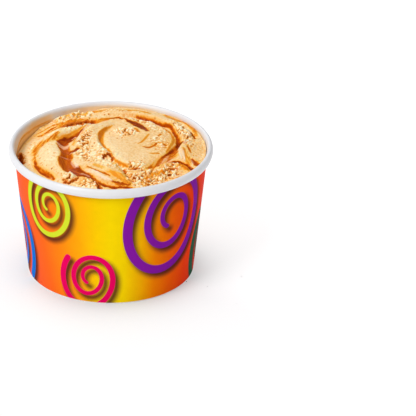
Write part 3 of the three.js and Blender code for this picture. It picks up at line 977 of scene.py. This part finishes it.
def crumb_heap(x, y):
    """Crumbs of three sizes lying in and over one another: 0 in the gaps and up to 1 on top."""
    bent_x = x + 0.4 * waves(x, y, 1.5, 51)
    bent_y = y + 0.4 * waves(x, y, 1.5, 52)
    heap = np.zeros(x.shape)
    for cell, share, seed in CRUMB_SIZES:
        nearest, own = grains(bent_x, bent_y, cell, seed)
        dome = np.sqrt(np.clip(1 - (nearest / (0.36 + 0.3 * own)) ** 2, 0.0, 1.0))
        heap = np.maximum(heap, share * (0.55 + 0.45 * own) * dome)
    return heap


def dragged(x, y, route, seed):
    """Where a dragged stroke is near: that mask, the depth inside it there, and streaks along it."""
    inside = depth_inside(x, y, route)
    near = inside > -STROKE_REACH
    along = route[-1, :2] - route[0, :2]
    along = along / np.hypot(*along)
    far = (x[near] * along[0] + y[near] * along[1]) / STREAK_LENGTH
    aside = (y[near] * along[0] - x[near] * along[1]) / STREAK_BREADTH
    return near, inside[near], waves(far, aside, 1.0, seed)


def caramel_strokes(x, y, ragged):
    """How deep the caramel looks, and where it lies as a smooth film."""
    caramel = np.zeros(x.shape)
    film = np.zeros(x.shape)
    for number, (depth, streaked, points) in enumerate(CARAMEL.values()):
        route = smooth_route(points)
        near, inside, streaks = dragged(x, y, route, CARAMEL_SEED + number)
        breadth = np.clip(1.1 * route[:, 2].mean() ** 1.4, 0.12, 1.0)
        inside = inside + breadth * ragged[near]
        edge = 0.2 + 0.27 * breadth
        cover = ease(inside + 0.5 * streaked * streaks, -edge, edge)
        look = depth * cover * (1 - 0.8 * streaked * ease(-streaks, 0.0, 0.6))
        halo = (0.08 + 0.3 * streaked) * depth * ease(inside + 0.8 * streaks, -1.6, 0.1)
        caramel[near] = np.maximum(caramel[near], np.maximum(look, halo))
        thick = ease(depth, 0.45, 0.85)
        film[near] = np.maximum(film[near], ease(inside, -0.1, 0.6) * thick)
    return caramel, film


def cream_and_highlight_strokes(x, y, fine):
    """How far the dragged pale gelato and the painted highlights cover the caramel."""
    cream_and_highlights = np.zeros(x.shape)
    for number, (share, points) in enumerate(CREAM_AND_HIGHLIGHTS.values()):
        near, inside, streaks = dragged(x, y, smooth_route(points), CREAM_AND_HIGHLIGHT_SEED + number)
        cover = ease(inside + 0.3 * streaks + 0.25 * fine[near], -0.35, 0.5)
        cream_and_highlights[near] = np.maximum(cream_and_highlights[near], cover * share * (0.7 + 0.6 * streaks))
    return np.clip(cream_and_highlights, 0, 1)


def torn_gaps(x, y, ragged):
    """How far the surface is sunk in the gaps, and how far their painted shade spreads."""
    gap = np.zeros(x.shape)
    colour = np.zeros(x.shape)
    for points in GAPS.values():
        inside = depth_inside(x, y, smooth_route(points)) + ragged
        gap = np.maximum(gap, ease(inside, -0.35, 0.35))
        colour = np.maximum(colour, ease(inside, -0.7, 0.2))
    return gap, colour


def scattered_pores(x, y, wide):
    """Small pores where the cream is firm, which is more of it at the left."""
    near, own = grains(x + 0.4 * waves(x, y, 1.1, 25), y, 1.7, 26)
    size = 0.1 + 0.2 * own
    pores = (1 - ease(near, 0.4 * size, size)) * (own > 0.45)
    # Small pores where the gelato is firm, which is more of it at the left.
    return pores * ease(wide + 0.4 * (x < -5.0), -0.2, 0.4)


def placed_pits(x, y, fine):
    pits = np.zeros(x.shape)
    for pit_x, pit_y, radius in PITS:
        reach = np.hypot(x - pit_x, y - pit_y) + 0.25 * fine
        pits = np.maximum(pits, 1.2 * (1 - ease(reach, 0.4 * radius, 1.1 * radius)))
    return pits


def scrapes(x, y):
    aside = x - SCRAPE_MIDDLE[0]
    behind = y - SCRAPE_MIDDLE[1]
    return waves(np.hypot(aside, behind), 5.0 * np.arctan2(behind, aside), 0.8, 31)


def gelato_surface(x, y):
    """The height at each place, and the values that the gelato's material reads."""
    wide = waves(x, y, 4.5, 61)
    fine = 0.6 * waves(x, y, 0.8, 62) + 0.5 * waves(x, y, 0.45, 63)
    clump = waves(x, y, 2.7, 64)
    heap = crumb_heap(x, y)
    torn = ease(patches(x, y, TORN) * (1 + 0.45 * wide), 0.15, 0.7)
    disc = (1 - off_disc(x, y, *SMOOTH_DISC)) * (1 - torn) * (1 - 0.8 * ease(x, *ROUGH_AGAIN))
    smooth = (1 - torn) * (1 - 0.5 * disc)

    ragged = 0.22 * waves(x, y, 1.6, 11) + 0.25 * fine - 1.3 * torn * (heap - 0.42)
    caramel, film = caramel_strokes(x, y, ragged)
    cream_and_highlights = cream_and_highlight_strokes(x, y, fine)
    caramel = caramel * (1 - 0.8 * cream_and_highlights) * (1 - 0.12 * fine)
    # The gaps are sunk, and their colour is a painted shade
    gap, gap_shade = torn_gaps(x, y, 0.7 * fine - 0.7 * torn * (heap - 0.4))
    pores = scattered_pores(x, y, wide) * (1 - 0.7 * disc) * (1 - cream_and_highlights)
    pores = np.maximum(pores, placed_pits(x, y, fine))

    ripples = RIPPLE_HEIGHT * (waves(x, y, 1.4, 32) + fine) + SCRAPE_HEIGHT * scrapes(x, y)
    relief = torn * (CRUMB_HEIGHT * heap + CRUMB_BED + CLUMP_HEIGHT * clump) + smooth * ripples
    relief += WIDE_HEIGHT * wide * (1 - disc) - PORE_DEPTH * pores
    height = broad_height(x, y) + relief * (1 - 0.9 * film)
    height += DRAGGED_HEIGHT * cream_and_highlights - GAP_DEPTH * gap - FILM_DEPTH * film * (1 - cream_and_highlights)
    for shape in VISUAL_LUMPS.values():
        height += lump(x, y, *shape)

    tone = MIDDLE_TONE + sum(lump(x, y, *shape) for shape in TONES.values())
    # Painted shade lowers the tone in the pores and in the gaps and hollows between crumbs, and a painted
    # highlight makes the crumbs' tops paler
    tone += 0.08 * wide + (0.08 + 0.12 * smooth) * fine - 0.45 * pores
    tone += torn * (2.1 * heap ** 2 + 0.3 * clump - 0.72)
    values = {"caramel": caramel, "gap": gap_shade, "tone": np.clip(tone, 0.0, 1.0), "cream_and_highlights": cream_and_highlights}
    return height, values


# The cream's colours by tone, which carries painted shade and painted highlights, the caramel's by depth, a
# gap's painted shade from its edge inwards, and the dragged cream with painted highlights
CREAM_TONES = [
    (0, (150, 62, 6)),
    (0.15, (206, 110, 16)),
    (0.32, (234, 162, 62)),
    (0.5, (243, 197, 133)),
    (0.65, (248, 211, 158)),
    (0.82, (251, 224, 174)),
    (1, (255, 243, 208)),
]
CARAMEL_TONES = [
    (0, (246, 210, 144)),
    (0.12, (244, 194, 102)),
    (0.3, (239, 167, 54)),
    (0.5, (224, 128, 16)),
    (0.7, (196, 90, 7)),
    (0.86, (164, 62, 5)),
    (1, (116, 40, 9)),
]
# Painted shade for the torn gaps, from their edge inwards
GAP_SHADE_TONES = [(0, (242, 176, 90)), (0.4, (220, 116, 26)), (1, (148, 56, 8))]
DRAGGED_CREAM_AND_HIGHLIGHT = (246, 224, 198)

# The cream's mottling, and how much browner it is painted where it is steep, as painted shade on the sides
# of crumbs
MOTTLING = 0.5
STEEP_SHADE = 0.3
STEEP_LEVELS = (0.3, 0.8)


def gelato_material():
    nodes = Nodes(bpy.data.materials.new("gelato_cream"))
    caramel = nodes.value("caramel")
    gap = nodes.value("gap")
    mottled = nodes.math("MULTIPLY_ADD", nodes.noise(1300.0, detail=3.0), MOTTLING, -MOTTLING / 2)
    tone = nodes.math("ADD", nodes.value("tone"), mottled)
    # Painted shade: faces are made browner the steeper they are
    normal = nodes.node("ShaderNodeNewGeometry", output="Normal")
    level = nodes.node("ShaderNodeSeparateXYZ", output="Z", Vector=normal)
    tone = nodes.math("SUBTRACT", tone, nodes.span(level, *STEEP_LEVELS, STEEP_SHADE, 0.0))
    colour = nodes.ramp(tone, CREAM_TONES)
    colour = nodes.mix(nodes.span(caramel, 0.02, 0.2), colour, nodes.ramp(caramel, CARAMEL_TONES))
    # Pale dragged cream, and painted highlights on the wet caramel
    colour = nodes.mix(nodes.value("cream_and_highlights"), colour, linear(DRAGGED_CREAM_AND_HIGHLIGHT))
    # Painted shade in the torn gaps
    colour = nodes.mix(nodes.span(gap, 0.0, 0.35), colour, nodes.ramp(gap, GAP_SHADE_TONES))
    nodes.set(Base_Color=colour, Roughness=nodes.span(caramel, 0.25, 0.75, 0.5, 0.14))
    nodes.set(Specular_IOR_Level=0.03)
    nodes.set(Subsurface_Weight=0.6, Subsurface_Radius=(1.0, 0.8, 0.6), Subsurface_Scale=0.6 * MM)
    nodes.bump(nodes.noise(1700.0, detail=3.0), 0.06 * MM, 0.5)
    return nodes.owner


def ring_start(ring):
    return 0 if ring == 0 else 1 + 3 * ring * (ring - 1)


def ring_faces(rings):
    """Triangles of rings of points with six more in each ring."""
    faces = []
    for ring in range(1, rings + 1):
        outer = ring_start(ring)
        inner = ring_start(ring - 1)
        outer_count = 6 * ring
        inner_count = max(1, 6 * (ring - 1))
        for side in range(6):
            step = np.arange(ring)
            a = outer + side * ring + step
            b = outer + (side * ring + step + 1) % outer_count
            c = inner + (side * (ring - 1) + step) % inner_count
            faces.append(np.column_stack([a, b, c]))
            d = inner + (side * (ring - 1) + step[:-1] + 1) % inner_count
            faces.append(np.column_stack([c[:-1], b[:-1], d]))
    return np.vstack(faces)


def make_gelato():
    """The gelato's top, closed down to the base disc by one row of faces and a bottom."""
    counts = [max(1, 6 * ring) for ring in range(GELATO_RINGS + 1)]
    ring = np.repeat(np.arange(GELATO_RINGS + 1), counts)
    angle = 2 * pi * np.concatenate([np.arange(count) / count for count in counts])
    edge_height = fill_height(SIDE_FITTED_AT * np.cos(angle), SIDE_FITTED_AT * np.sin(angle))
    edge = wall_inner(edge_height - SIDE_FITTED_BELOW) - FILL_GAP
    x = edge * ring / GELATO_RINGS * np.cos(angle)
    y = edge * ring / GELATO_RINGS * np.sin(angle)
    height, values = gelato_surface(x, y)
    top = np.column_stack([x, y, height])

    count = counts[-1]
    first = ring_start(GELATO_RINGS)
    lower = len(top)
    around = angle[first:]
    bottom = floor_top + GLUE_GAP
    reach = wall_inner(bottom) - FILL_GAP
    under = np.column_stack([reach * np.cos(around), reach * np.sin(around), np.full(count, bottom)])
    here = np.arange(count)
    after = (here + 1) % count
    wall = np.column_stack([lower + here, lower + after, first + after, first + here])
    faces = [*ring_faces(GELATO_RINGS).tolist(), *wall.tolist(), (lower + here[::-1]).tolist()]
    gelato = make_piece("gelato_top", np.vstack([top, under]), faces, [gelato_material()])
    keep_values(gelato, {name: np.append(value, np.zeros(count)) for name, value in values.items()})
    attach(gelato, "root")
    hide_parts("gelato")


# The studio: a pale floor, a soft sun from the front left, a soft light behind, and the camera

LOOK_AT = Vector((0.0, 0.0, 23.69)) * MM
LOOK_AT_PIXEL = (110.98, 207.02)
PHOTO_SIZE = 416
ELEVATION = 27.34
CAMERA_DISTANCE = 1547.8 * MM
FOCAL_PIXELS = 4244.4
SENSOR = 36.0
CAMERA_SEES = (0.1, 100.0)
SKY_LOW = 0.12
SKY_HIGH = 0.9
WHITE = (255, 255, 255)

# The floor glows evenly, with a painted shadow close round the foot that is deepest to one side of it, and
# painted light behind that lifts the sun's shadow there. Its heights are given by the distance from the
# middle
FLOOR_PAINT = (160, 160, 161)
FLOOR_GLOW = 0.68
FAR_GLOW = 0.13
FAR_SIDE = (0.6, 0.8, 0.0)
FOOT_SHADE = 0.25
FOOT_SHADE_REACH = 7.0 * MM
FOOT_SHADE_SIDE = (0.74, -0.67, 0.0)
FOOT_SHADE_LEAN = 0.35
FLOOR_DROP = 0.02 * MM
FLOOR_COLUMNS = 96
FLOOR_HEIGHTS = {AXIS_HOLE: 0, 80: 0, 500: 0, 3300: 0, 3600: 25, 3800: 110, 3880: 350}

SUN_STRENGTH = 1.9
SUN_WIDTH = 24.0
SUN_PLACE = (-0.52, -0.48, 0.72)
STRIP_SIZE = (0.3, 0.06)
STRIP_POWER = 0.6
STRIP_PLACE = (-0.25, 0.5, 0.55)


def floor_side(nodes, direction):
    """How far round to that side of the cup a place on the floor is, from -1 to 1."""
    outward = nodes.node("ShaderNodeVectorMath", Vector=nodes.place())
    outward.node.operation = "NORMALIZE"
    side = nodes.node("ShaderNodeVectorMath", output=1, Vector=outward)
    side.node.operation = "DOT_PRODUCT"
    side.node.inputs[1].default_value = direction
    return side


def make_floor():
    """A round pale floor with a painted shadow close round the cup's foot and painted light behind it, whose
    edge curls up all round.
    """
    nodes = Nodes(bpy.data.materials.new("studio_floor"))
    reach = nodes.node("ShaderNodeVectorMath", output=1, Vector=nodes.place())
    reach.node.operation = "LENGTH"
    # A painted shadow round the foot, deepest to one side, and painted light behind
    past_foot = nodes.math("DIVIDE", nodes.math("SUBTRACT", reach, foot_radius * MM), FOOT_SHADE_REACH)
    shade = nodes.math("EXPONENT", nodes.math("MULTIPLY", past_foot, -1.0))
    lean = nodes.math("MULTIPLY_ADD", floor_side(nodes, FOOT_SHADE_SIDE), FOOT_SHADE_LEAN, 1.0)
    behind = nodes.math("MAXIMUM", floor_side(nodes, FAR_SIDE), 0.0)
    open_glow = nodes.math("MULTIPLY_ADD", behind, FAR_GLOW, FLOOR_GLOW)
    glow = nodes.math("MULTIPLY_ADD", nodes.math("MULTIPLY", shade, lean), -FOOT_SHADE, open_glow)
    nodes.set(Base_Color=linear(FLOOR_PAINT), Roughness=0.9, Specular_IOR_Level=0.0)
    nodes.set(Emission_Color=linear(WHITE), Emission_Strength=glow)
    angles = np.linspace(-180, 180, FLOOR_COLUMNS, endpoint=False)
    profile = [(radius, height, 0.0) for radius, height in FLOOR_HEIGHTS.items()]
    points, faces = turned(profile, angles, np.zeros(FLOOR_COLUMNS))
    open_faces = faces[: (len(profile) - 1) * FLOOR_COLUMNS]
    floor = make_piece("studio_floor", points, open_faces.tolist(), [nodes.owner])
    floor.location.z = -FLOOR_DROP


def make_sky():
    """A white sky, which is brightest overhead."""
    world = bpy.data.worlds.new("studio")
    bpy.context.scene.world = world
    nodes = Nodes(world, "Background")
    direction = nodes.node("ShaderNodeTexCoord", output="Generated")
    height = nodes.node("ShaderNodeSeparateXYZ", output="Z", Vector=direction)
    squared = nodes.math("POWER", height, 2.0)
    squared.node.use_clamp = True
    nodes.set(Color=linear(WHITE), Strength=nodes.span(squared, 0.0, 1.0, SKY_LOW, SKY_HIGH))


def make_lights():
    sun = bpy.data.lights.new("key", "SUN")
    sun.energy = SUN_STRENGTH
    sun.angle = radians(SUN_WIDTH)
    add_light(sun, SUN_PLACE)
    strip = bpy.data.lights.new("back_strip", "AREA")
    strip.shape = "RECTANGLE"
    strip.size, strip.size_y = STRIP_SIZE
    strip.energy = STRIP_POWER
    add_light(strip, STRIP_PLACE)


def add_light(light, place):
    lamp = add_object(light.name, light)
    lamp.location = place
    lamp.rotation_euler = (LOOK_AT - Vector(place)).to_track_quat("-Z", "Y").to_euler()


def make_camera():
    camera = bpy.data.cameras.new("camera")
    camera.sensor_width = SENSOR
    camera.lens = FOCAL_PIXELS / PHOTO_SIZE * SENSOR
    camera.clip_start, camera.clip_end = CAMERA_SEES
    lens = add_object("camera", camera)
    tilt = radians(ELEVATION)
    back = Vector((0.0, -cos(tilt), sin(tilt)))
    lens.location = LOOK_AT + CAMERA_DISTANCE * back
    aside = atan((LOOK_AT_PIXEL[0] - PHOTO_SIZE / 2) / FOCAL_PIXELS)
    above = atan((PHOTO_SIZE / 2 - LOOK_AT_PIXEL[1]) / FOCAL_PIXELS)
    lens.rotation_mode = "QUATERNION"
    lens.rotation_quaternion = (
        (-back).to_track_quat("-Z", "Y")
        @ Quaternion((0.0, 1.0, 0.0), aside)
        @ Quaternion((1.0, 0.0, 0.0), -above)
    )
    bpy.context.scene.camera = lens


make_camera()
make_sky()
make_lights()
make_floor()
make_sleeve()
make_base()
make_gelato()

bpy.context.scene.view_settings.view_transform = "Standard"
